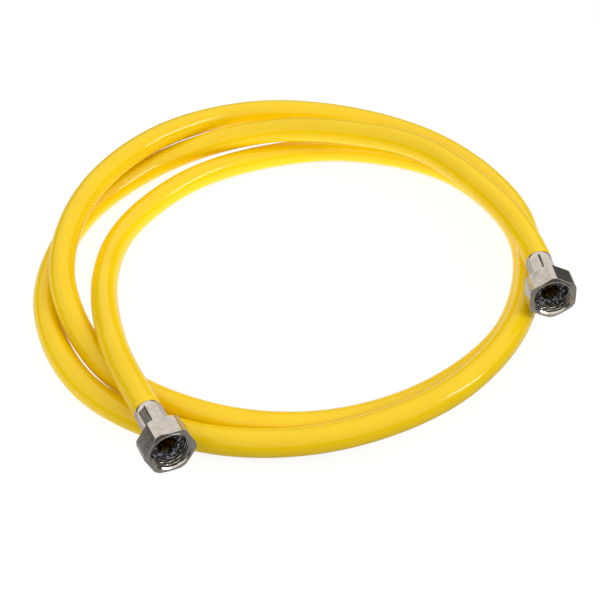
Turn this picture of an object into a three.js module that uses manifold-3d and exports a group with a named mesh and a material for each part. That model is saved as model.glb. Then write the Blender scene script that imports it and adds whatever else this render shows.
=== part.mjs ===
// A yellow PVC supply hose, lying in loose turns, with a crimped union nut on each end.
// Millimetres, +Z up. The origin is on the floor under the middle of the whole part.

import * as THREE from 'three';
import { mergeVertices } from 'three/addons/utils/BufferGeometryUtils.js';
import Module from 'manifold-3d';

const wasm = await Module();
wasm.setup();

// Hose
const HOSE_OUTER = 14.5;
const HOSE_BORE = 9;
const HOSE_SIDES = 12;
const HOSE_STEPS = 100;

// Gap left between pieces that touch on the real hose
const CLEARANCE = 0.25;

// Union nut, for a G 1/2 thread. The bar that it is cut from is wider than its flats, and the
// flat face at its mouth is narrower.
const NUT_FLATS = 24;
const BAR_BEYOND_FLATS = 2.2;
const FACE_WITHIN_FLATS = 2;
const NUT_CORNERS = NUT_FLATS + BAR_BEYOND_FLATS;
const NUT_FACE = NUT_FLATS - FACE_WITHIN_FLATS;
const NUT_WALL_BEHIND = 2.5;
const NUT_CHAMFER_ANGLE = 20;
const NUT_BACK_CHAMFER = 0.4;
const THREAD_MINOR = 18.7;
const COUNTERSINK_WIDTH = 2.3;
const THREAD_ENTRY = THREAD_MINOR + COUNTERSINK_WIDTH;
const THREAD_ENTRY_DEPTH = 1.2;

// Gasket
const GASKET_DEPTH = 5;
const GASKET_THICKNESS = 2;
const GASKET_OUTER = THREAD_MINOR - 2 * CLEARANCE;
const GASKET_BORE = 10;

// Hose tail: flange, neck, barbed stem and bore
const FLANGE_WITHIN_GASKET = 0.2;
const FLANGE_OUTER = GASKET_OUTER - FLANGE_WITHIN_GASKET;
const FLANGE_THICKNESS = 2.2;
const NECK_OUTER = 11.6;
const TAIL_BORE = 6;
const FUNNEL_MOUTH = 9;
const FUNNEL_DEPTH = 3;
const BARB_COUNT = 5;
const BARB_OUTER = 8.2;
const BARB_ROOT = 7.3;
const BARB_PITCH = 3;
const STEM_ROOT_OUTER = 8.6;
const STEM_NOSE = 1.5;
const STEM_NOSE_TAPER = 0.3;

// Crimp sleeve
const PRESSED_BY = 1.5;
const SLEEVE_FLATS = HOSE_OUTER - PRESSED_BY;
const SLEEVE_FLAT_COUNT = 8;
const SLEEVE_WALL = 0.8;
const SLEEVE_LENGTH = 19;
const SLEEVE_FRONT_WALL = 1;
const FRONT_WITHIN_FLATS = 0.8;
const SLEEVE_FRONT_FACE = SLEEVE_FLATS - FRONT_WITHIN_FLATS;
const SLEEVE_FRONT_ROUND = 0.9;
const RIDGE_HEIGHT = 0.12;
const RIDGE_WIDTH = 0.7;

// The sleeve's free end, which the jaws leave round
const LIP_BEYOND_FLATS = 1.2;
const LIP_OUTER = SLEEVE_FLATS + LIP_BEYOND_FLATS;
const LIP_LENGTH = 2.2;
const LIP_FADE = 2;
const LIP_ROUND = 0.6;
const LIP_FLARE = 0.5;

// How far a cutter runs past what it cuts
const OVERRUN = 1;

// Smoothness of the turned pieces
const NUT_SEGMENTS = 48;
const TURNED_SEGMENTS = 24;

// Places along a fitting, measured back from the mouth of its nut
const FLANGE_FRONT = GASKET_DEPTH + GASKET_THICKNESS + CLEARANCE;
const FLANGE_BACK = FLANGE_FRONT + FLANGE_THICKNESS;
const NUT_SHOULDER = FLANGE_BACK + CLEARANCE;
const NUT_LENGTH = NUT_SHOULDER + NUT_WALL_BEHIND;
const NECK_END = NUT_LENGTH + CLEARANCE;
const SLEEVE_FRONT = NECK_END + CLEARANCE;
const SLEEVE_BORE_START = SLEEVE_FRONT + SLEEVE_FRONT_WALL;
const SLEEVE_BACK = SLEEVE_FRONT + SLEEVE_LENGTH;
const HOSE_END = SLEEVE_BORE_START + CLEARANCE;
const BARBS_START = HOSE_END + CLEARANCE;
const STEM_END = BARBS_START + BARB_COUNT * BARB_PITCH + STEM_NOSE;

// Each fitting: the middle of the nut's mouth, the way it points, and its turn about that line
const FITTING_A = { mouth: [-56.8, -138.8, 33.5], points: [0.44, -0.885, 0.145], turn: -9 };
const FITTING_B = { mouth: [133.4, -48.1, 42], points: [0.085, -0.985, 0.11], turn: 34 };
const STRAIGHT_BEHIND_SLEEVE = 2;

// The hose lies in turns about one middle. From fitting A round to fitting B, every TURN_STEP
// degrees, each pair is the distance out from the middle and the height of the hose's centre.
const TURNS_MIDDLE = [-2.9, 9.3];
const FIRST_TURN_ANGLE = 220;
const TURN_STEP = -30;
const TURNS = [
  // down from fitting A, which lies on the other turns, and once round on the floor
  [117, 25.5], [103.5, 17], [101, 8], [97.5, 8], [100, 7.5], [112.5, 7.5],
  [130.5, 7.5], [136.5, 9], [128.5, 7.5], [118, 8], [113.5, 8], [114.5, 8.5],
  // the second turn climbs over the third at the left and over the first at the right
  [122, 11], [126.5, 20], [126.5, 24], [126, 25], [128, 21.5], [126.5, 21],
  [128, 24], [134, 24.5], [133, 22], [131.5, 22.5], [127, 15], [130, 11],
  // the third turn starts on the floor and ends on top of both, at fitting B
  [137.5, 9], [137, 7.5], [129.5, 8.5], [119, 11.5], [105.5, 23], [97.5, 33],
  [103.5, 39.5], [117.5, 40.5],
];
const BEND_INTO_B = [126, 4.3, 38];

const turned = (profile, segments) =>
  new THREE.LatheGeometry(profile.map(([radius, height]) => new THREE.Vector2(radius, height)), segments)
    .rotateX(Math.PI / 2);

// A closed mesh becomes a solid once only its positions are left and shared corners are one
function solid(geometry) {
  const bare = geometry.clone();
  bare.deleteAttribute('normal');
  bare.deleteAttribute('uv');
  const merged = mergeVertices(bare, 1e-4);
  return new wasm.Manifold(new wasm.Mesh({
    numProp: 3,
    vertProperties: new Float32Array(merged.attributes.position.array),
    triVerts: new Uint32Array(merged.index.array),
  }));
}

function surface(body) {
  const mesh = body.getMesh();
  const indexed = new THREE.BufferGeometry();
  indexed.setAttribute('position', new THREE.BufferAttribute(new Float32Array(mesh.vertProperties), 3));
  indexed.setIndex(new THREE.BufferAttribute(new Uint32Array(mesh.triVerts), 1));
  const flat = indexed.toNonIndexed();
  flat.computeVertexNormals();
  return flat;
}

const across = (flats, count) => flats / 2 / Math.cos(Math.PI / count);

// A regular prism whose first flat faces +Y, from one place along the fitting to another
function prism(flats, count, from, to) {
  const height = to - from;
  const shape = new THREE.Shape();
  for (let k = 0; k < count; k += 1) {
    const angle = Math.PI / 2 + (k + 0.5) * 2 * Math.PI / count;
    const radius = across(flats, count);
    if (k === 0) shape.moveTo(radius * Math.cos(angle), radius * Math.sin(angle));
    else shape.lineTo(radius * Math.cos(angle), radius * Math.sin(angle));
  }
  return new THREE.ExtrudeGeometry(shape, { depth: height, bevelEnabled: false }).translate(0, 0, -to);
}

function unionNut() {
  // the hexagon is cut from a round bar that is thinner than its corners would need
  const corner = NUT_CORNERS / 2;
  const chamferDepth = (corner - NUT_FACE / 2) * Math.tan(THREE.MathUtils.degToRad(NUT_CHAMFER_ANGLE));
  const envelope = turned([
    [0, 0], [NUT_FACE / 2, 0], [corner, -chamferDepth], [corner, -NUT_LENGTH + NUT_BACK_CHAMFER],
    [corner - NUT_BACK_CHAMFER, -NUT_LENGTH], [0, -NUT_LENGTH],
  ].reverse(), NUT_SEGMENTS);
  const neckHole = NECK_OUTER / 2 + CLEARANCE;
  const bore = turned([
    [0, OVERRUN], [THREAD_ENTRY / 2, OVERRUN], [THREAD_ENTRY / 2, 0],
    [THREAD_MINOR / 2, -THREAD_ENTRY_DEPTH], [THREAD_MINOR / 2, -NUT_SHOULDER],
    [neckHole, -NUT_SHOULDER], [neckHole, -NUT_LENGTH - OVERRUN], [0, -NUT_LENGTH - OVERRUN],
  ].reverse(), NUT_SEGMENTS);
  return surface(solid(prism(NUT_FLATS, 6, 0, NUT_LENGTH)).intersect(solid(envelope)).subtract(solid(bore)));
}

function gasket() {
  const front = -GASKET_DEPTH;
  const back = front - GASKET_THICKNESS;
  const inner = GASKET_BORE / 2;
  const outer = GASKET_OUTER / 2;
  return turned([[inner, front], [inner, back], [outer, back], [outer, front], [inner, front]], NUT_SEGMENTS);
}

function hoseTail() {
  const outline = [
    [TAIL_BORE / 2, -FLANGE_FRONT - FUNNEL_DEPTH], [TAIL_BORE / 2, -STEM_END],
    [BARB_ROOT / 2 - STEM_NOSE_TAPER, -STEM_END],
  ];
  for (let k = BARB_COUNT - 1; k >= 0; k -= 1) {
    const start = BARBS_START + k * BARB_PITCH;
    outline.push([BARB_ROOT / 2, -start - BARB_PITCH], [BARB_OUTER / 2, -start]);
    if (k > 0) outline.push([BARB_ROOT / 2, -start]);
  }
  outline.push(
    [STEM_ROOT_OUTER / 2, -BARBS_START], [STEM_ROOT_OUTER / 2, -NECK_END],
    [NECK_OUTER / 2, -NECK_END], [NECK_OUTER / 2, -FLANGE_BACK],
    [FLANGE_OUTER / 2, -FLANGE_BACK], [FLANGE_OUTER / 2, -FLANGE_FRONT],
    [FUNNEL_MOUTH / 2, -FLANGE_FRONT], [TAIL_BORE / 2, -FLANGE_FRONT - FUNNEL_DEPTH],
  );
  return turned(outline, TURNED_SEGMENTS);
}

// A closed skin over rings that all have as many points; the last ring is joined to the first
function skin(rings) {
  const count = rings[0].length;
  const faces = [];
  rings.forEach((ring, row) => {
    const here = row * count;
    const next = (row + 1) % rings.length * count;
    for (let k = 0; k < count; k += 1) {
      const after = (k + 1) % count;
      faces.push(here + k, next + after, here + after, here + k, next + k, next + after);
    }
  });
  const body = new THREE.BufferGeometry().setFromPoints(rings.flat());
  body.setIndex(faces);
  const flat = body.toNonIndexed();
  flat.computeVertexNormals();
  return flat;
}

// The outline of the pressed sleeve: flats left by the jaws, and a ridge where two jaws met.
// Each point is its angle round the sleeve, its radius outside, and its radius in the bore.
function pressedOutline() {
  const step = 2 * Math.PI / SLEEVE_FLAT_COUNT;
  const corner = across(SLEEVE_FLATS, SLEEVE_FLAT_COUNT);
  const flatEnd = Math.atan(Math.tan(step / 2) - RIDGE_WIDTH / (SLEEVE_FLATS / 2));
  const ridgeEnd = step / 2 - RIDGE_WIDTH / 2 / corner;
  const bore = SLEEVE_FLATS / 2 - SLEEVE_WALL;
  const points = [];
  for (let k = 0; k < SLEEVE_FLAT_COUNT; k += 1) {
    const facing = Math.PI / 2 + k * step;
    for (const off of [-ridgeEnd, -flatEnd, flatEnd, ridgeEnd]) {
      const onRidge = Math.abs(off) > flatEnd;
      points.push({
        angle: facing + off,
        outside: onRidge ? corner + RIDGE_HEIGHT : SLEEVE_FLATS / 2 / Math.cos(off),
        inside: bore / Math.cos(off),
      });
    }
  }
  return points;
}

function crimpSleeve() {
  const outline = pressedOutline();
  const at = (depth, radiusOf) => outline.map((point) => {
    const radius = radiusOf(point);
    return new THREE.Vector3(radius * Math.cos(point.angle), radius * Math.sin(point.angle), -depth);
  });
  const round = (depth, radius) => at(depth, () => radius);
  // between the pressed flats and the round lip the metal takes up both shapes
  const blend = (depth, pressed, radius) => (
    at(depth, (point) => pressed * point.outside + (1 - pressed) * radius));
  const lip = LIP_OUTER / 2;
  const lipStart = SLEEVE_BACK - LIP_LENGTH;
  const stemHole = STEM_ROOT_OUTER / 2 + CLEARANCE;
  const front = SLEEVE_FRONT_FACE / 2;
  return skin([
    round(SLEEVE_FRONT, stemHole), round(SLEEVE_FRONT, front),
    blend(SLEEVE_FRONT + SLEEVE_FRONT_ROUND / 3, 0.6, front),
    blend(SLEEVE_FRONT + SLEEVE_FRONT_ROUND, 1, front),
    blend(lipStart - LIP_FADE / 2, 1, lip), blend(lipStart - LIP_FADE / 4, 0.8, lip),
    blend(lipStart, 0.5, lip), blend(lipStart + LIP_FADE / 4, 0.2, lip),
    round(lipStart + LIP_FADE / 2, lip), round(SLEEVE_BACK - LIP_ROUND, lip),
    round(SLEEVE_BACK - LIP_ROUND / 4, lip - LIP_ROUND / 4), round(SLEEVE_BACK, lip - LIP_ROUND),
    at(SLEEVE_BACK, (point) => point.inside + LIP_FLARE), at(lipStart, (point) => point.inside),
    at(SLEEVE_BORE_START, (point) => point.inside), round(SLEEVE_BORE_START, stemHole),
  ]);
}

// What the sleeve presses away from the round hose: all that lies outside its bore
function squeeze() {
  const boreFlats = SLEEVE_FLATS - 2 * SLEEVE_WALL - 2 * CLEARANCE;
  const reach = SLEEVE_BACK + CLEARANCE;
  const room = new THREE.CylinderGeometry(HOSE_OUTER, HOSE_OUTER, reach, TURNED_SEGMENTS)
    .rotateX(Math.PI / 2).translate(0, 0, -reach / 2);
  const kept = prism(boreFlats, SLEEVE_FLAT_COUNT, HOSE_END - OVERRUN, reach + OVERRUN);
  return solid(room).subtract(solid(kept));
}

function fittingMatrix({ mouth, points, turn }) {
  const forward = new THREE.Vector3(...points).normalize();
  const level = new THREE.Vector3().crossVectors(forward, new THREE.Vector3(0, 0, 1)).normalize();
  const third = new THREE.Vector3().crossVectors(forward, level);
  return new THREE.Matrix4().makeBasis(level, third, forward)
    .multiply(new THREE.Matrix4().makeRotationZ(THREE.MathUtils.degToRad(turn)))
    .setPosition(...mouth);
}

function behind({ mouth, points }, distance) {
  const back = new THREE.Vector3(...points).normalize().multiplyScalar(-distance);
  return new THREE.Vector3(...mouth).add(back);
}

function hoseRoute() {
  const straight = SLEEVE_BACK + STRAIGHT_BEHIND_SLEEVE;
  const turns = TURNS.map(([distance, height], k) => {
    const angle = THREE.MathUtils.degToRad(FIRST_TURN_ANGLE + k * TURN_STEP);
    return new THREE.Vector3(
      TURNS_MIDDLE[0] + distance * Math.cos(angle),
      TURNS_MIDDLE[1] + distance * Math.sin(angle),
      height,
    );
  });
  return new THREE.CatmullRomCurve3([
    behind(FITTING_A, HOSE_END), behind(FITTING_A, straight), ...turns,
    new THREE.Vector3(...BEND_INTO_B), behind(FITTING_B, straight), behind(FITTING_B, HOSE_END),
  ], false, 'centripetal');
}

function hose() {
  const ring = (radius) => Array.from({ length: HOSE_SIDES }, (_, k) => {
    const angle = 2 * Math.PI * k / HOSE_SIDES;
    return new THREE.Vector2(radius * Math.cos(angle), radius * Math.sin(angle));
  });
  const section = new THREE.Shape(ring(HOSE_OUTER / 2));
  section.holes.push(new THREE.Path(ring(HOSE_BORE / 2)));
  const tube = new THREE.ExtrudeGeometry(section, {
    steps: HOSE_STEPS, bevelEnabled: false, extrudePath: hoseRoute(),
  });
  const pressedAt = (fitting) => squeeze().transform(fittingMatrix(fitting).elements);
  return surface(solid(tube).subtract(pressedAt(FITTING_A)).subtract(pressedAt(FITTING_B)));
}

const pvc = () => new THREE.MeshStandardMaterial({ color: '#f2c11f', roughness: 0.3, metalness: 0 });
const nickel = () => new THREE.MeshStandardMaterial({ color: '#cfc8bd', roughness: 0.22, metalness: 1 });
const brass = () => new THREE.MeshStandardMaterial({ color: '#b08a3e', roughness: 0.35, metalness: 1 });
const rubber = () => new THREE.MeshStandardMaterial({ color: '#1f1f20', roughness: 0.7, metalness: 0 });

function named(name, geometry, material) {
  const mesh = new THREE.Mesh(geometry, material);
  mesh.name = name;
  return mesh;
}

function fitting(place, letter) {
  const group = new THREE.Group();
  group.applyMatrix4(fittingMatrix(place));
  group.add(
    named(`union_nut_${letter}`, unionNut(), nickel()),
    named(`gasket_${letter}`, gasket(), rubber()),
    named(`hose_tail_${letter}`, hoseTail(), brass()),
    named(`crimp_sleeve_${letter}`, crimpSleeve(), nickel()),
  );
  return group;
}

const part = new THREE.Group();
part.add(named('hose', hose(), pvc()), fitting(FITTING_A, 'a'), fitting(FITTING_B, 'b'));

export default part;
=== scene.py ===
"""A yellow PVC supply hose, lying in loose turns, with a crimped union nut on each end.

Sizes are in millimetres, as in the part, and become metres where a piece is made.
"""

import math

import bpy
from mathutils import Matrix, Vector


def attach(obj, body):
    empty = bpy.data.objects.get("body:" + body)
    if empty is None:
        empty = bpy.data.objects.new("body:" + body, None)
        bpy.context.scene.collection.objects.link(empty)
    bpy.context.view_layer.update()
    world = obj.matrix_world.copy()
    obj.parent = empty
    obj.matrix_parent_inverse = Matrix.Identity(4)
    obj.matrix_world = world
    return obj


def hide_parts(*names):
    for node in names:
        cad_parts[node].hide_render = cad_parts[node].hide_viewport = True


MM = 0.001

# Hose
HOSE_OUTER = 14.5
SQUEEZED_OUTER = 11.2
SQUEEZE_START = -1.3
SQUEEZE_END = 1.5
HOSE_POINT_SPACING = 2.5
HOSE_ROUND_STEPS = 10

# Union nut for a G 1/2 thread, cut from a round bar as thick as NUT_CORNERS
NUT_SIDES = 6
NUT_FLATS = 24.0
NUT_CORNERS = 26.2
NUT_FACE = 22.0
NUT_CHAMFER_ANGLE = 20
NUT_BACK_CHAMFER = 0.4
NUT_LENGTH = 12.2
NUT_SHOULDER = 9.7
NUT_EDGE_BREAK = 0.1
CHAMFER_LEFT_AT_EDGE = 0.8
POINTS_PER_HALF_FLAT = 6
NECK_HOLE = 12.1
THREAD_MINOR = 18.63
THREAD_MAJOR = 20.95
THREAD_PITCH = 1.814
THREAD_ENTRY = 21.2
THREAD_ENTRY_DEPTH = 1.2
THREAD_END = 8.7
THREAD_CREST = 0.12
ROWS_PER_PITCH = 12

# The rounded edge of the nut's mouth: its radius, and how far it turns from inside to outside
MOUTH_ROUND = 0.3
MOUTH_TURNS = range(-70, 51, 15)

# Gasket
GASKET_DEPTH = 5.0
GASKET_THICKNESS = 2.0
GASKET_OUTER = 18.2
GASKET_BORE = 10.0
GASKET_ROUNDING = 0.35
GASKET_ROUNDING_MIDDLE = 0.3
GASKET_SIDES = 96

# Hose tail: diameters, and depths behind the mouth of the nut
TAIL_FLANGE_FRONT = 7.25
TAIL_BORE = 6.0
FUNNEL_MOUTH = 9.0
FUNNEL_DEPTH = 3.0
FLANGE_OUTER = 18.0
FLANGE_BACK = 9.45
NECK_OUTER = 11.6
NECK_END = 12.45
STEM_ROOT_OUTER = 8.6
BARBS_START = 14.2
BARB_COUNT = 5
BARB_PITCH = 3.0
BARB_OUTER = 8.2
BARB_ROOT = 7.3
STEM_NOSE = 1.5
STEM_NOSE_TAPER = 0.3
TAIL_SIDES = 96

# Pressed sleeve
SLEEVE_FRONT = 12.7
SLEEVE_BACK = 31.7
SLEEVE_FLATS = 13.0
SLEEVE_FLAT_COUNT = 8
SLEEVE_WALL = 0.8
SLEEVE_FRONT_WALL = 1.0
SLEEVE_FRONT_FACE = 12.2
SLEEVE_FRONT_ROUND = 0.9
SLEEVE_FRONT_TURNS = range(0, 91, 18)
RIDGE_HEIGHT = 0.12
RIDGE_WIDTH = 0.7
STEM_HOLE = 9.1
SLEEVE_SIDES = 240

# The sleeve's free end, which the jaws leave round
LIP_OUTER = 14.2
LIP_LENGTH = 2.2
LIP_FADE = 2.0
LIP_FADE_STEPS = 10
LIP_ROUND = 0.6
LIP_TURNS = range(0, 91, 15)
LIP_FLARE = 0.5

# Faces that meet at more than this many degrees meet in a crisp edge
CRISP_NUT = 20
CRISP_TAIL = 28
CRISP_SLEEVE = 35
CRISP_GASKET = 50

# Each fitting: the middle of the nut's mouth, the way it points, and its turn about that line
FITTINGS = {
    "a": {"mouth": (-56.8, -138.8, 33.5), "points": (0.44, -0.885, 0.145), "turn": -9},
    "b": {"mouth": (133.4, -48.1, 42.0), "points": (0.085, -0.985, 0.11), "turn": 34},
}
HOSE_END = 13.95
STRAIGHT_BEHIND_SLEEVE = 2.0

# The lie of the hose, every TURN_STEP degrees: distance out from the middle, and height
TURNS_MIDDLE = (-2.9, 9.3)
FIRST_TURN_ANGLE = 220
TURN_STEP = -30
TURNS = [
    (117, 25.5), (103.5, 17), (101, 8), (97.5, 8), (100, 7.5), (112.5, 7.5),
    (130.5, 7.5), (136.5, 9), (128.5, 7.5), (118, 8), (113.5, 8), (114.5, 8.5),
    (122, 11), (126.5, 20), (126.5, 24), (126, 25), (128, 21.5), (126.5, 21),
    (128, 24), (134, 24.5), (133, 22), (131.5, 22.5), (127, 15), (130, 11),
    (137.5, 9), (137, 7.5), (129.5, 8.5), (119, 11.5), (105.5, 23), (97.5, 33),
    (103.5, 39.5), (117.5, 40.5),
]
BEND_INTO_B = (126, 4.3, 38)

# Camera
CAMERA_PLACE = (3.1, -459.3, 474.0)
CAMERA_LOOKS_AT = (3.1, -8.7, -0.2)
CAMERA_LENS = 69.56
CAMERA_SENSOR = 36
CAMERA_NEAR = 10

# Table: its light from below grows across LIT_EDGE, a distance along LIT_TOWARDS
FLOOR_RADIUS = 340.0
FLOOR_SIDES = 64
FLOOR_WHITE = 1.06
LIT_TOWARDS = (-0.24, 0.97, 0)
LIT_EDGE = (-125, -55)
LIT_FLOOR = 2.1
UNLIT_FLOOR = 0.7
MIRRORED_SHARE = 0.32
GLOW_SHARE = 0.85

# Where turns lie close over the table, within SLIT_REACH, little of its glow is left
SLIT_REACH = 20
SLIT_SKY = (0.03, 0.2)
SLIT_GLOW_SHARE = 0.2

# The tent's light, by the height of its direction: 0 is the horizon and 1 is straight up
GAP_EDGE = (0.32, 0.36)
OVERHEAD_EDGE = (0.6, 0.95)
GAP_LIGHT = 0.1
TENT_WALL_LIGHT = 0.97
OVERHEAD_LIGHT = 1.12

# The softbox: the way to it, its width and length, and its turn about that way
SOFTBOX_WAY = (0.78, -0.33, 0.53)
SOFTBOX_DISTANCE = 2500
SOFTBOX_SIZE = (400, 1350)
SOFTBOX_TILT = 35
SOFTBOX_WATTS = 15


# Colours and materials

def colour(hex_value):
    """An sRGB hex value as the linear colour that Blender wants."""
    channels = [int(hex_value[i:i + 2], 16) / 255 for i in (1, 3, 5)]
    linear = [c / 12.92 if c <= 0.04045 else ((c + 0.055) / 1.055) ** 2.4 for c in channels]
    return (*linear, 1.0)


def add_node(tree, kind, links=None, **settings):
    """Adds one node. Settings are its own options; links give each input a value or an output."""
    node = tree.nodes.new(kind)
    for name, value in settings.items():
        setattr(node, name, value)
    for name, value in (links or {}).items():
        if isinstance(value, bpy.types.NodeSocket):
            tree.links.new(value, node.inputs[name])
        else:
            node.inputs[name].default_value = value
    return node


def new_material(name):
    """An empty material and its node tree, with the surface left open."""
    material = bpy.data.materials.new(name)
    material.use_nodes = True
    material.node_tree.nodes.clear()
    return material, material.node_tree


def extruded_pvc():
    """Plasticised PVC, extruded glossy: a warm opaque yellow with thin, broken glints."""
    material, tree = new_material("extruded_pvc")
    place = add_node(tree, "ShaderNodeTexCoord").outputs["Object"]
    # the pigment clouds a little over about 25 mm
    cloud = add_node(tree, "ShaderNodeTexNoise", {"Vector": place, "Scale": 1 / (25 * MM), "Detail": 2})
    shade = add_node(tree, "ShaderNodeMix", {
        0: cloud.outputs["Fac"], 6: colour("#f1cc06"), 7: colour("#e9c102"),
    }, data_type="RGBA")
    # the die leaves patches about 8 mm long where the gloss is duller
    patch = add_node(tree, "ShaderNodeTexNoise", {"Vector": place, "Scale": 1 / (8 * MM), "Detail": 1})
    rough = add_node(tree, "ShaderNodeMapRange", {
        "Value": patch.outputs["Fac"], "From Min": 0.3, "From Max": 0.7, "To Min": 0.1, "To Max": 0.17,
    })
    # the wall is a few hundredths of a millimetre uneven over about 12 mm
    wall = add_node(tree, "ShaderNodeTexNoise", {"Vector": place, "Scale": 1 / (12 * MM), "Detail": 1})
    bump = add_node(tree, "ShaderNodeBump", {
        "Height": wall.outputs["Fac"], "Strength": 0.6, "Distance": 0.3 * MM,
    })
    surface = add_node(tree, "ShaderNodeBsdfPrincipled", {
        "Base Color": shade.outputs[2], "Roughness": rough.outputs["Result"], "IOR": 1.5,
        "Specular IOR Level": 0.4, "Normal": bump.outputs["Normal"],
    })
    add_node(tree, "ShaderNodeOutputMaterial", {"Surface": surface.outputs["BSDF"]})
    return material


def nickel_plate():
    """Nickel plated on machined brass: a warm grey mirror, dulled by fine grain and handling."""
    material, tree = new_material("nickel_plate")
    place = add_node(tree, "ShaderNodeTexCoord").outputs["Object"]
    # stains about 3 mm across
    stain = add_node(tree, "ShaderNodeTexNoise", {"Vector": place, "Scale": 1 / (3 * MM), "Detail": 4})
    shade = add_node(tree, "ShaderNodeMix", {
        0: stain.outputs["Fac"], 6: colour("#dcd5ce"), 7: colour("#b0a69c"),
    }, data_type="RGBA")
    rough = add_node(tree, "ShaderNodeMapRange", {
        "Value": stain.outputs["Fac"], "From Min": 0.3, "From Max": 0.7, "To Min": 0.1, "To Max": 0.2,
    })
    # grain of the plated surface, about 0.5 mm
    grain = add_node(tree, "ShaderNodeTexNoise", {"Vector": place, "Scale": 1 / (0.5 * MM), "Detail": 2})
    bump = add_node(tree, "ShaderNodeBump", {
        "Height": grain.outputs["Fac"], "Strength": 0.15, "Distance": 0.1 * MM,
    })
    surface = add_node(tree, "ShaderNodeBsdfPrincipled", {
        "Base Color": shade.outputs[2], "Roughness": rough.outputs["Result"],
        "Normal": bump.outputs["Normal"], "Metallic": 1.0,
    })
    add_node(tree, "ShaderNodeOutputMaterial", {"Surface": surface.outputs["BSDF"]})
    return material


def turned_brass():
    """Bare turned brass that has lain damp: yellow-brown, and darker in patches of about 2 mm."""
    material, tree = new_material("turned_brass")
    place = add_node(tree, "ShaderNodeTexCoord").outputs["Object"]
    damp = add_node(tree, "ShaderNodeTexNoise", {"Vector": place, "Scale": 1 / (2 * MM), "Detail": 4})
    tarnish = add_node(tree, "ShaderNodeMapRange", {
        "Value": damp.outputs["Fac"], "From Min": 0.4, "From Max": 0.6,
    })
    shade = add_node(tree, "ShaderNodeMix", {
        0: tarnish.outputs["Result"], 6: colour("#a8925a"), 7: colour("#3d3418"),
    }, data_type="RGBA")
    surface = add_node(tree, "ShaderNodeBsdfPrincipled", {
        "Base Color": shade.outputs[2], "Roughness": 0.3, "Metallic": 1.0,
    })
    add_node(tree, "ShaderNodeOutputMaterial", {"Surface": surface.outputs["BSDF"]})
    return material


def moulded_rubber():
    """Moulded grey-black rubber: shiny, with a crinkled skin whose glints are partly painted on as paler
    patches.
    """
    material, tree = new_material("moulded_rubber")
    place = add_node(tree, "ShaderNodeTexCoord").outputs["Object"]
    # painted glints: patches about 1.5 mm across are painted a paler blue-grey, as highlights on the
    # crinkled skin
    painted_glint_noise = add_node(tree, "ShaderNodeTexNoise", {"Vector": place, "Scale": 1 / (1.5 * MM), "Detail": 3})
    painted_glint_mask = add_node(tree, "ShaderNodeMapRange", {
        "Value": painted_glint_noise.outputs["Fac"], "From Min": 0.5, "From Max": 0.62,
    })
    # the black mixed with the painted highlight colour of the glint patches
    shade = add_node(tree, "ShaderNodeMix", {
        0: painted_glint_mask.outputs["Result"], 6: colour("#131316"), 7: colour("#8b8f99"),
    }, data_type="RGBA")
    # the crinkles are about 1 mm across
    crinkle = add_node(tree, "ShaderNodeTexNoise", {"Vector": place, "Scale": 1 / (1 * MM), "Detail": 3})
    bump = add_node(tree, "ShaderNodeBump", {
        "Height": crinkle.outputs["Fac"], "Strength": 0.7, "Distance": 0.4 * MM,
    })
    surface = add_node(tree, "ShaderNodeBsdfPrincipled", {
        "Base Color": shade.outputs[2], "Roughness": 0.3, "Normal": bump.outputs["Normal"], "IOR": 1.5,
    })
    add_node(tree, "ShaderNodeOutputMaterial", {"Surface": surface.outputs["BSDF"]})
    return material


# Places along the fittings and the hose

def behind(fitting, distance):
    """The point on a fitting's axis that far behind the mouth of its nut."""
    return Vector(fitting["mouth"]) - Vector(fitting["points"]).normalized() * distance


def fitting_matrix(fitting):
    """Takes the fitting's own frame, mouth at 0 and +Z pointing out of it, to its place in metres."""
    forward = Vector(fitting["points"]).normalized()
    level = forward.cross(Vector((0, 0, 1))).normalized()
    third = forward.cross(level)
    basis = Matrix((level, third, forward)).transposed().to_4x4()
    turn = Matrix.Rotation(math.radians(fitting["turn"]), 4, "Z")
    return Matrix.Scale(MM, 4) @ Matrix.Translation(fitting["mouth"]) @ basis @ turn


def route_points():
    """The points that the middle of the hose runs through, from fitting a to fitting b."""
    straight = SLEEVE_BACK + STRAIGHT_BEHIND_SLEEVE
    points = [behind(FITTINGS["a"], HOSE_END), behind(FITTINGS["a"], straight)]
    for k, (distance, height) in enumerate(TURNS):
        angle = math.radians(FIRST_TURN_ANGLE + k * TURN_STEP)
        points.append(Vector((
            TURNS_MIDDLE[0] + distance * math.cos(angle),
            TURNS_MIDDLE[1] + distance * math.sin(angle),
            height,
        )))
    points.append(Vector(BEND_INTO_B))
    return points + [behind(FITTINGS["b"], straight), behind(FITTINGS["b"], HOSE_END)]


def smooth_route(points, spacing):
    """One smooth line through the points, with a place about every spacing millimetres."""
    ends = [2 * points[0] - points[1], *points, 2 * points[-1] - points[-2]]
    line = []
    for p0, p1, p2, p3 in zip(ends, ends[1:], ends[2:], ends[3:]):
        t0, t1, t2 = ((b - a).length ** 0.5 for a, b in ((p0, p1), (p1, p2), (p2, p3)))
        start = ((p1 - p0) / t0 - (p2 - p0) / (t0 + t1) + (p2 - p1) / t1) * t1
        end = ((p2 - p1) / t1 - (p3 - p1) / (t1 + t2) + (p3 - p2) / t2) * t1
        steps = max(1, round((p2 - p1).length / spacing))
        for k in range(steps):
            t = k / steps
            line.append(
                p1 + start * t + (3 * (p2 - p1) - 2 * start - end) * t ** 2
                + (2 * (p1 - p2) + start + end) * t ** 3
            )
    return line + [points[-1]]


# Pieces

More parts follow.
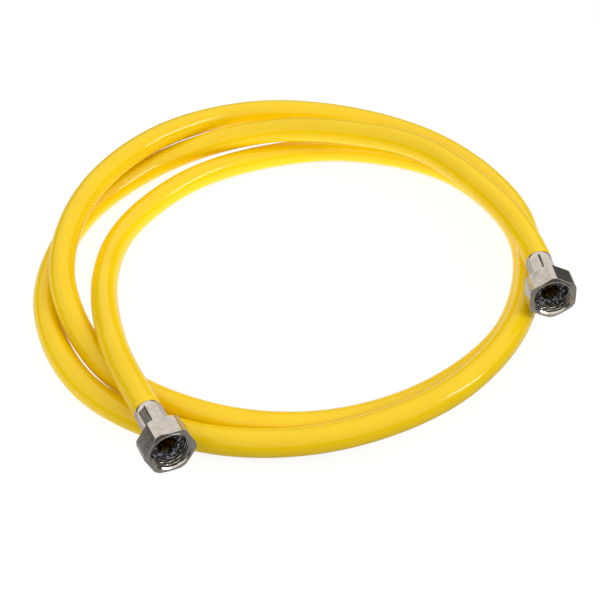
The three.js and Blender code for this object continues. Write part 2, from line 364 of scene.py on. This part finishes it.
def loops_to_piece(name, loops, material, crisp_angle):
    """A closed skin over rings of points, one after another and from the last back to the first."""
    count = len(loops[0])
    faces = []
    for row in range(len(loops)):
        low, high = row * count, (row + 1) % len(loops) * count
        for k in range(count):
            after = (k + 1) % count
            faces.append((low + k, low + after, high + after, high + k))
    mesh = bpy.data.meshes.new(name)
    mesh.from_pydata([point for loop in loops for point in loop], [], faces)
    mesh.shade_smooth()
    mesh.set_sharp_from_angle(angle=math.radians(crisp_angle))
    mesh.materials.append(material)
    piece = bpy.data.objects.new(name, mesh)
    bpy.context.scene.collection.objects.link(piece)
    return piece


def even_angles(count):
    """That many angles, spread evenly round the circle."""
    return [2 * math.pi * k / count for k in range(count)]


def ring(angles, radius_at, depth_at):
    """One ring of points; radius and depth behind the mouth are given for each angle."""
    return [
        (radius_at(angle) * math.cos(angle), radius_at(angle) * math.sin(angle), -depth_at(angle))
        for angle in angles
    ]


def even_ring(angles, radius, depth):
    """One round ring of points, square to the axis."""
    return ring(angles, lambda angle: radius, lambda angle: depth)


def from_flat(angle, count):
    """How far an angle is from the middle of the nearest flat, the first of which faces +Y."""
    step = 2 * math.pi / count
    return (angle - math.pi / 2 + step / 2) % step - step / 2


def hexagon_radius(angle):
    """Outline of the nut: six flats, and corners left as round as the bar it is cut from."""
    return min(NUT_FLATS / 2 / math.cos(from_flat(angle, NUT_SIDES)), NUT_CORNERS / 2)


def nut_angles():
    """Angles round the nut, with one where each flat ends and its corner begins."""
    side = 2 * math.pi / NUT_SIDES
    flat_end = math.acos(NUT_FLATS / NUT_CORNERS)
    half = POINTS_PER_HALF_FLAT
    along_flat = [flat_end * k / half for k in range(-half, half + 1)]
    in_corner = (side / 2 + flat_end) / 2
    offsets = [-side / 2, -in_corner, *along_flat, in_corner]
    return [math.pi / 2 + side * k + offset for k in range(NUT_SIDES) for offset in offsets]


def thread_radius(angle, depth):
    """Right-hand internal thread, cut back where the mouth is countersunk and run out at its end."""
    turn = (-depth / THREAD_PITCH - angle / (2 * math.pi)) % 1
    rise = min(1, max(0, (abs(2 * turn - 1) - THREAD_CREST) / (1 - 2 * THREAD_CREST)))
    depth_of_thread = (THREAD_MAJOR - THREAD_MINOR) / 2 * rise * rise * (3 - 2 * rise)
    radius = THREAD_MINOR / 2 + depth_of_thread
    countersink = THREAD_ENTRY / 2 - depth * (THREAD_ENTRY - THREAD_MINOR) / 2 / THREAD_ENTRY_DEPTH
    return max(radius, countersink)


def threaded_nut(letter, material):
    """The union nut, from its inner shoulder along the thread to the mouth and back outside."""
    angles = nut_angles()
    slope = math.tan(math.radians(NUT_CHAMFER_ANGLE))
    mouth_middle = NUT_FACE / 2 - MOUTH_ROUND

    def chamfer_depth(angle):
        return (hexagon_radius(angle) - NUT_FACE / 2) * slope

    loops = [
        even_ring(angles, NECK_HOLE / 2, NUT_SHOULDER), even_ring(angles, THREAD_MAJOR / 2, NUT_SHOULDER),
        even_ring(angles, THREAD_MAJOR / 2, THREAD_END + NUT_EDGE_BREAK),
    ]
    rows = round(THREAD_END / THREAD_PITCH * ROWS_PER_PITCH)
    for row in range(rows + 1):
        depth = MOUTH_ROUND + (THREAD_END - MOUTH_ROUND) * (1 - row / rows)
        loops.append(ring(angles, lambda angle: thread_radius(angle, depth), lambda angle: depth))
    # the mouth's rounded edge draws a thin bright ring
    for turn in MOUTH_TURNS:
        outward = MOUTH_ROUND * math.sin(math.radians(turn))
        depth = MOUTH_ROUND * (1 - math.cos(math.radians(turn)))
        loops.append(even_ring(angles, mouth_middle + outward, depth))
    # the chamfer eases a little before its broken outer edge
    rise = NUT_EDGE_BREAK * slope * CHAMFER_LEFT_AT_EDGE
    loops += [
        ring(angles, lambda angle: hexagon_radius(angle) - NUT_EDGE_BREAK,
             lambda angle: chamfer_depth(angle) - rise),
        ring(angles, hexagon_radius, lambda angle: chamfer_depth(angle) + NUT_EDGE_BREAK),
        ring(angles, hexagon_radius, lambda angle: NUT_LENGTH - NUT_BACK_CHAMFER),
        ring(angles, lambda angle: hexagon_radius(angle) - NUT_BACK_CHAMFER, lambda angle: NUT_LENGTH),
        even_ring(angles, NECK_HOLE / 2 + NUT_EDGE_BREAK, NUT_LENGTH),
        even_ring(angles, NECK_HOLE / 2, NUT_LENGTH - NUT_EDGE_BREAK),
    ]
    return loops_to_piece(f"threaded_nut_{letter}", loops, material, CRISP_NUT)


def ease(share):
    """0 to 1 with a soft start and end; what lies outside stays at the nearer one."""
    share = min(1, max(0, share))
    return share * share * (3 - 2 * share)


def pressed_radius(angle):
    """Outline of the pressed sleeve: eight flats, and a small ridge where two jaws met."""
    half_step = math.pi / SLEEVE_FLAT_COUNT
    off = abs(from_flat(angle, SLEEVE_FLAT_COUNT))
    to_corner = SLEEVE_FLATS / 2 * (math.tan(half_step) - math.tan(off))
    return SLEEVE_FLATS / 2 / math.cos(off) + RIDGE_HEIGHT * ease(1 - to_corner / RIDGE_WIDTH)


def pressed_sleeve(letter, material):
    """The sleeve, from its hole for the stem over the pressed flats to the round lip and back inside."""
    angles = even_angles(SLEEVE_SIDES)
    bore = SLEEVE_FLATS / 2 - SLEEVE_WALL
    lip = LIP_OUTER / 2
    lip_start = SLEEVE_BACK - LIP_LENGTH

    def at(depth, pressed, round_radius=lip):
        def radius(angle):
            return pressed * pressed_radius(angle) + (1 - pressed) * round_radius
        return ring(angles, radius, lambda angle: depth)

    loops = [even_ring(angles, STEM_HOLE / 2, SLEEVE_FRONT)]
    for turn in SLEEVE_FRONT_TURNS:
        rounding = SLEEVE_FRONT_ROUND * (1 - math.cos(math.radians(turn)))
        loops.append(at(SLEEVE_FRONT + rounding, math.sin(math.radians(turn)), SLEEVE_FRONT_FACE / 2))
    for step in range(LIP_FADE_STEPS + 1):
        share = step / LIP_FADE_STEPS
        loops.append(at(lip_start + LIP_FADE * (share - 1 / 2), 1 - ease(share)))
    for turn in LIP_TURNS:
        rise = LIP_ROUND * math.sin(math.radians(turn))
        inward = LIP_ROUND * (1 - math.cos(math.radians(turn)))
        loops.append(even_ring(angles, lip - inward, SLEEVE_BACK - LIP_ROUND + rise))
    loops += [
        even_ring(angles, bore + LIP_FLARE, SLEEVE_BACK), even_ring(angles, bore, lip_start),
        even_ring(angles, bore, SLEEVE_FRONT + SLEEVE_FRONT_WALL),
        even_ring(angles, STEM_HOLE / 2, SLEEVE_FRONT + SLEEVE_FRONT_WALL),
    ]
    return loops_to_piece(f"pressed_sleeve_{letter}", loops, material, CRISP_SLEEVE)


def barbed_tail(letter, material):
    """The brass tail: flange, neck and barbs outside, a funnel and a plain bore inside."""
    angles = even_angles(TAIL_SIDES)
    stem_end = BARBS_START + BARB_COUNT * BARB_PITCH + STEM_NOSE
    outline = [(TAIL_BORE, stem_end), (BARB_ROOT - 2 * STEM_NOSE_TAPER, stem_end)]
    for k in reversed(range(BARB_COUNT)):
        start = BARBS_START + k * BARB_PITCH
        outline += [(BARB_ROOT, start + BARB_PITCH), (BARB_OUTER, start)]
    outline += [
        (STEM_ROOT_OUTER, BARBS_START), (STEM_ROOT_OUTER, NECK_END), (NECK_OUTER, NECK_END),
        (NECK_OUTER, FLANGE_BACK), (FLANGE_OUTER, FLANGE_BACK), (FLANGE_OUTER, TAIL_FLANGE_FRONT),
        (FUNNEL_MOUTH, TAIL_FLANGE_FRONT), (TAIL_BORE, TAIL_FLANGE_FRONT + FUNNEL_DEPTH),
    ]
    loops = [even_ring(angles, diameter / 2, depth) for diameter, depth in outline]
    return loops_to_piece(f"barbed_tail_{letter}", loops, material, CRISP_TAIL)


def ring_gasket(letter, material):
    """The sealing ring, flat behind and rounded at its front edges."""
    angles = even_angles(GASKET_SIDES)
    inner, outer, soft = GASKET_BORE / 2, GASKET_OUTER / 2, GASKET_ROUNDING
    front, back = GASKET_DEPTH, GASKET_DEPTH + GASKET_THICKNESS
    corner = soft * GASKET_ROUNDING_MIDDLE
    outline = [
        (inner, back), (outer, back), (outer, front + soft), (outer - corner, front + corner),
        (outer - soft, front), ((inner + outer) / 2, front), (inner + soft, front),
        (inner + corner, front + corner), (inner, front + soft),
    ]
    loops = [even_ring(angles, radius, depth) for radius, depth in outline]
    return loops_to_piece(f"ring_gasket_{letter}", loops, material, CRISP_GASKET)


def hose_width(distance, total):
    """The hose's thickness as a share of its full one: squeezed in a sleeve, full outside it."""
    past_sleeve = min(distance, total - distance) - (SLEEVE_BACK - HOSE_END)
    free = ease((past_sleeve - SQUEEZE_START) / (SQUEEZE_END - SQUEEZE_START))
    squeezed = SQUEEZED_OUTER / HOSE_OUTER
    return squeezed + (1 - squeezed) * free


def pvc_tube(material):
    """The hose as one curve along its route, and its length."""
    line = smooth_route(route_points(), HOSE_POINT_SPACING)
    distances = [0.0]
    for before, after in zip(line, line[1:]):
        distances.append(distances[-1] + (after - before).length)
    curve = bpy.data.curves.new("pvc_tube", "CURVE")
    curve.dimensions = "3D"
    curve.bevel_depth = HOSE_OUTER / 2 * MM
    curve.bevel_resolution = HOSE_ROUND_STEPS
    curve.use_fill_caps = True
    spline = curve.splines.new("POLY")
    spline.points.add(len(line) - 1)
    for point, place, distance in zip(spline.points, line, distances):
        point.co = (*(place * MM), 1)
        point.radius = hose_width(distance, distances[-1])
    spline.use_smooth = True
    curve.materials.append(material)
    tube = bpy.data.objects.new("pvc_tube", curve)
    bpy.context.scene.collection.objects.link(tube)
    return tube, distances[-1]


# Camera, floor and light

def place_camera():
    camera = bpy.data.objects.new("camera", bpy.data.cameras.new("camera"))
    camera.data.sensor_width = CAMERA_SENSOR
    camera.data.lens = CAMERA_LENS
    camera.data.clip_start = CAMERA_NEAR * MM
    camera.location = Vector(CAMERA_PLACE) * MM
    looks = Vector(CAMERA_LOOKS_AT) - Vector(CAMERA_PLACE)
    camera.rotation_euler = looks.to_track_quat("-Z", "Y").to_euler()
    bpy.context.scene.collection.objects.link(camera)
    bpy.context.scene.camera = camera


def pale_floor():
    """An opal acrylic table top: white, lit from below towards its back, with a faint shadow."""
    material, tree = new_material("opal_acrylic")
    path = add_node(tree, "ShaderNodeLightPath").outputs
    mirrored = add_node(tree, "ShaderNodeMath", {
        0: path["Is Glossy Ray"], 1: path["Is Transmission Ray"],
    }, operation="MAXIMUM")
    place = add_node(tree, "ShaderNodeTexCoord").outputs["Object"]
    along = add_node(tree, "ShaderNodeVectorMath", {0: place, 1: LIT_TOWARDS}, operation="DOT_PRODUCT")
    from_below = add_node(tree, "ShaderNodeMapRange", {
        "Value": along.outputs["Value"], "From Min": LIT_EDGE[0] * MM, "From Max": LIT_EDGE[1] * MM,
        "To Min": UNLIT_FLOOR, "To Max": LIT_FLOOR,
    }, interpolation_type="SMOOTHSTEP")
    dimmer = add_node(tree, "ShaderNodeMapRange", {
        "Value": mirrored.outputs[0], "To Min": 1.0, "To Max": MIRRORED_SHARE,
    })
    on_object = add_node(tree, "ShaderNodeMath", {
        0: from_below.outputs["Result"], 1: dimmer.outputs["Result"],
    }, operation="MULTIPLY")
    # to the camera the whole table is white
    strength = add_node(tree, "ShaderNodeMapRange", {
        "Value": path["Is Camera Ray"], "To Min": on_object.outputs[0], "To Max": FLOOR_WHITE,
    })
    top = add_node(tree, "ShaderNodeBsdfDiffuse", {"Color": colour("#e6e6e6")})
    glow = add_node(tree, "ShaderNodeEmission", {
        "Color": colour("#ffffff"), "Strength": strength.outputs["Result"],
    })
    # in the slits between the turns, shadow and the hose's own colour show more than the glow
    open_sky = add_node(tree, "ShaderNodeAmbientOcclusion", {"Distance": SLIT_REACH * MM}, samples=8)
    share = add_node(tree, "ShaderNodeMapRange", {
        "Value": open_sky.outputs["AO"], "From Min": SLIT_SKY[0], "From Max": SLIT_SKY[1],
        "To Min": SLIT_GLOW_SHARE, "To Max": GLOW_SHARE,
    })
    mixed = add_node(tree, "ShaderNodeMixShader", {
        0: share.outputs["Result"], 1: top.outputs[0], 2: glow.outputs[0],
    })
    add_node(tree, "ShaderNodeOutputMaterial", {"Surface": mixed.outputs[0]})
    rim = even_ring(even_angles(FLOOR_SIDES), FLOOR_RADIUS * MM, 0)
    mesh = bpy.data.meshes.new("floor")
    mesh.from_pydata(rim, [], [tuple(range(FLOOR_SIDES))])
    mesh.materials.append(material)
    floor = bpy.data.objects.new("floor", mesh)
    bpy.context.scene.collection.objects.link(floor)


def tent_light():
    """A white tent with a dark gap round the horizon, brightest overhead."""
    world = bpy.data.worlds.new("tent")
    bpy.context.scene.world = world
    world.use_nodes = True
    tree = world.node_tree
    tree.nodes.clear()
    place = add_node(tree, "ShaderNodeTexCoord")
    way = add_node(tree, "ShaderNodeSeparateXYZ", {"Vector": place.outputs["Generated"]})
    above_gap = add_node(tree, "ShaderNodeMapRange", {
        "Value": way.outputs["Z"], "From Min": GAP_EDGE[0], "From Max": GAP_EDGE[1],
    })
    overhead = add_node(tree, "ShaderNodeMapRange", {
        "Value": way.outputs["Z"], "From Min": OVERHEAD_EDGE[0], "From Max": OVERHEAD_EDGE[1],
        "To Min": TENT_WALL_LIGHT, "To Max": OVERHEAD_LIGHT,
    })
    tent = add_node(tree, "ShaderNodeMath", {
        0: above_gap.outputs["Result"], 1: overhead.outputs["Result"], 2: GAP_LIGHT,
    }, operation="MULTIPLY_ADD")
    light = add_node(tree, "ShaderNodeBackground", {
        "Color": colour("#fffdf8"), "Strength": tent.outputs[0],
    })
    white = add_node(tree, "ShaderNodeBackground", {"Color": colour("#ffffff"), "Strength": 1.0})
    seen = add_node(tree, "ShaderNodeLightPath").outputs["Is Camera Ray"]
    mixed = add_node(tree, "ShaderNodeMixShader", {0: seen, 1: light.outputs[0], 2: white.outputs[0]})
    add_node(tree, "ShaderNodeOutputWorld", {"Surface": mixed.outputs[0]})


def strip_softbox():
    """A long narrow softbox at the front right, which draws the thin glints along the hose."""
    light = bpy.data.lights.new("strip_softbox", "AREA")
    light.shape = "RECTANGLE"
    light.size, light.size_y = (side * MM for side in SOFTBOX_SIZE)
    light.energy = SOFTBOX_WATTS
    softbox = bpy.data.objects.new("strip_softbox", light)
    way = Vector(SOFTBOX_WAY).normalized()
    tilt = Matrix.Rotation(math.radians(SOFTBOX_TILT), 3, "Z")
    softbox.location = way * SOFTBOX_DISTANCE * MM
    softbox.rotation_euler = (way.to_track_quat("Z", "Y").to_matrix() @ tilt).to_euler()
    bpy.context.scene.collection.objects.link(softbox)


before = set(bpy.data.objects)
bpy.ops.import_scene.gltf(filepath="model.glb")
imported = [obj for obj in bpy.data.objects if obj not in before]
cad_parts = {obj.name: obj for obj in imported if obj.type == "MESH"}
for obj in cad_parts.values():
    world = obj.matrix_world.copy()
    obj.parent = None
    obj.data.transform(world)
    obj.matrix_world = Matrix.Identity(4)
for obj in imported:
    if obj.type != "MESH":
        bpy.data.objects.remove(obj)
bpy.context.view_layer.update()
bpy.context.scene.view_settings.view_transform = "Standard"
place_camera()

tube, tube_length = pvc_tube(extruded_pvc())
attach(tube, "hose")
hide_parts("hose")

plate = nickel_plate()
rubber = moulded_rubber()
brass = turned_brass()
for letter, fitting in FITTINGS.items():
    nut = threaded_nut(letter, plate)
    gasket = ring_gasket(letter, rubber)
    sleeve = pressed_sleeve(letter, plate)
    tail = barbed_tail(letter, brass)
    for piece in (nut, gasket, sleeve, tail):
        piece.data.transform(fitting_matrix(fitting))
    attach(nut, f"nut_{letter}")
    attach(gasket, f"nut_{letter}")
    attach(sleeve, "hose")
    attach(tail, "hose")
    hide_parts(f"union_nut_{letter}")
    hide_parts(f"gasket_{letter}")
    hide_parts(f"crimp_sleeve_{letter}")
    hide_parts(f"hose_tail_{letter}")

pale_floor()
tent_light()
strip_softbox()
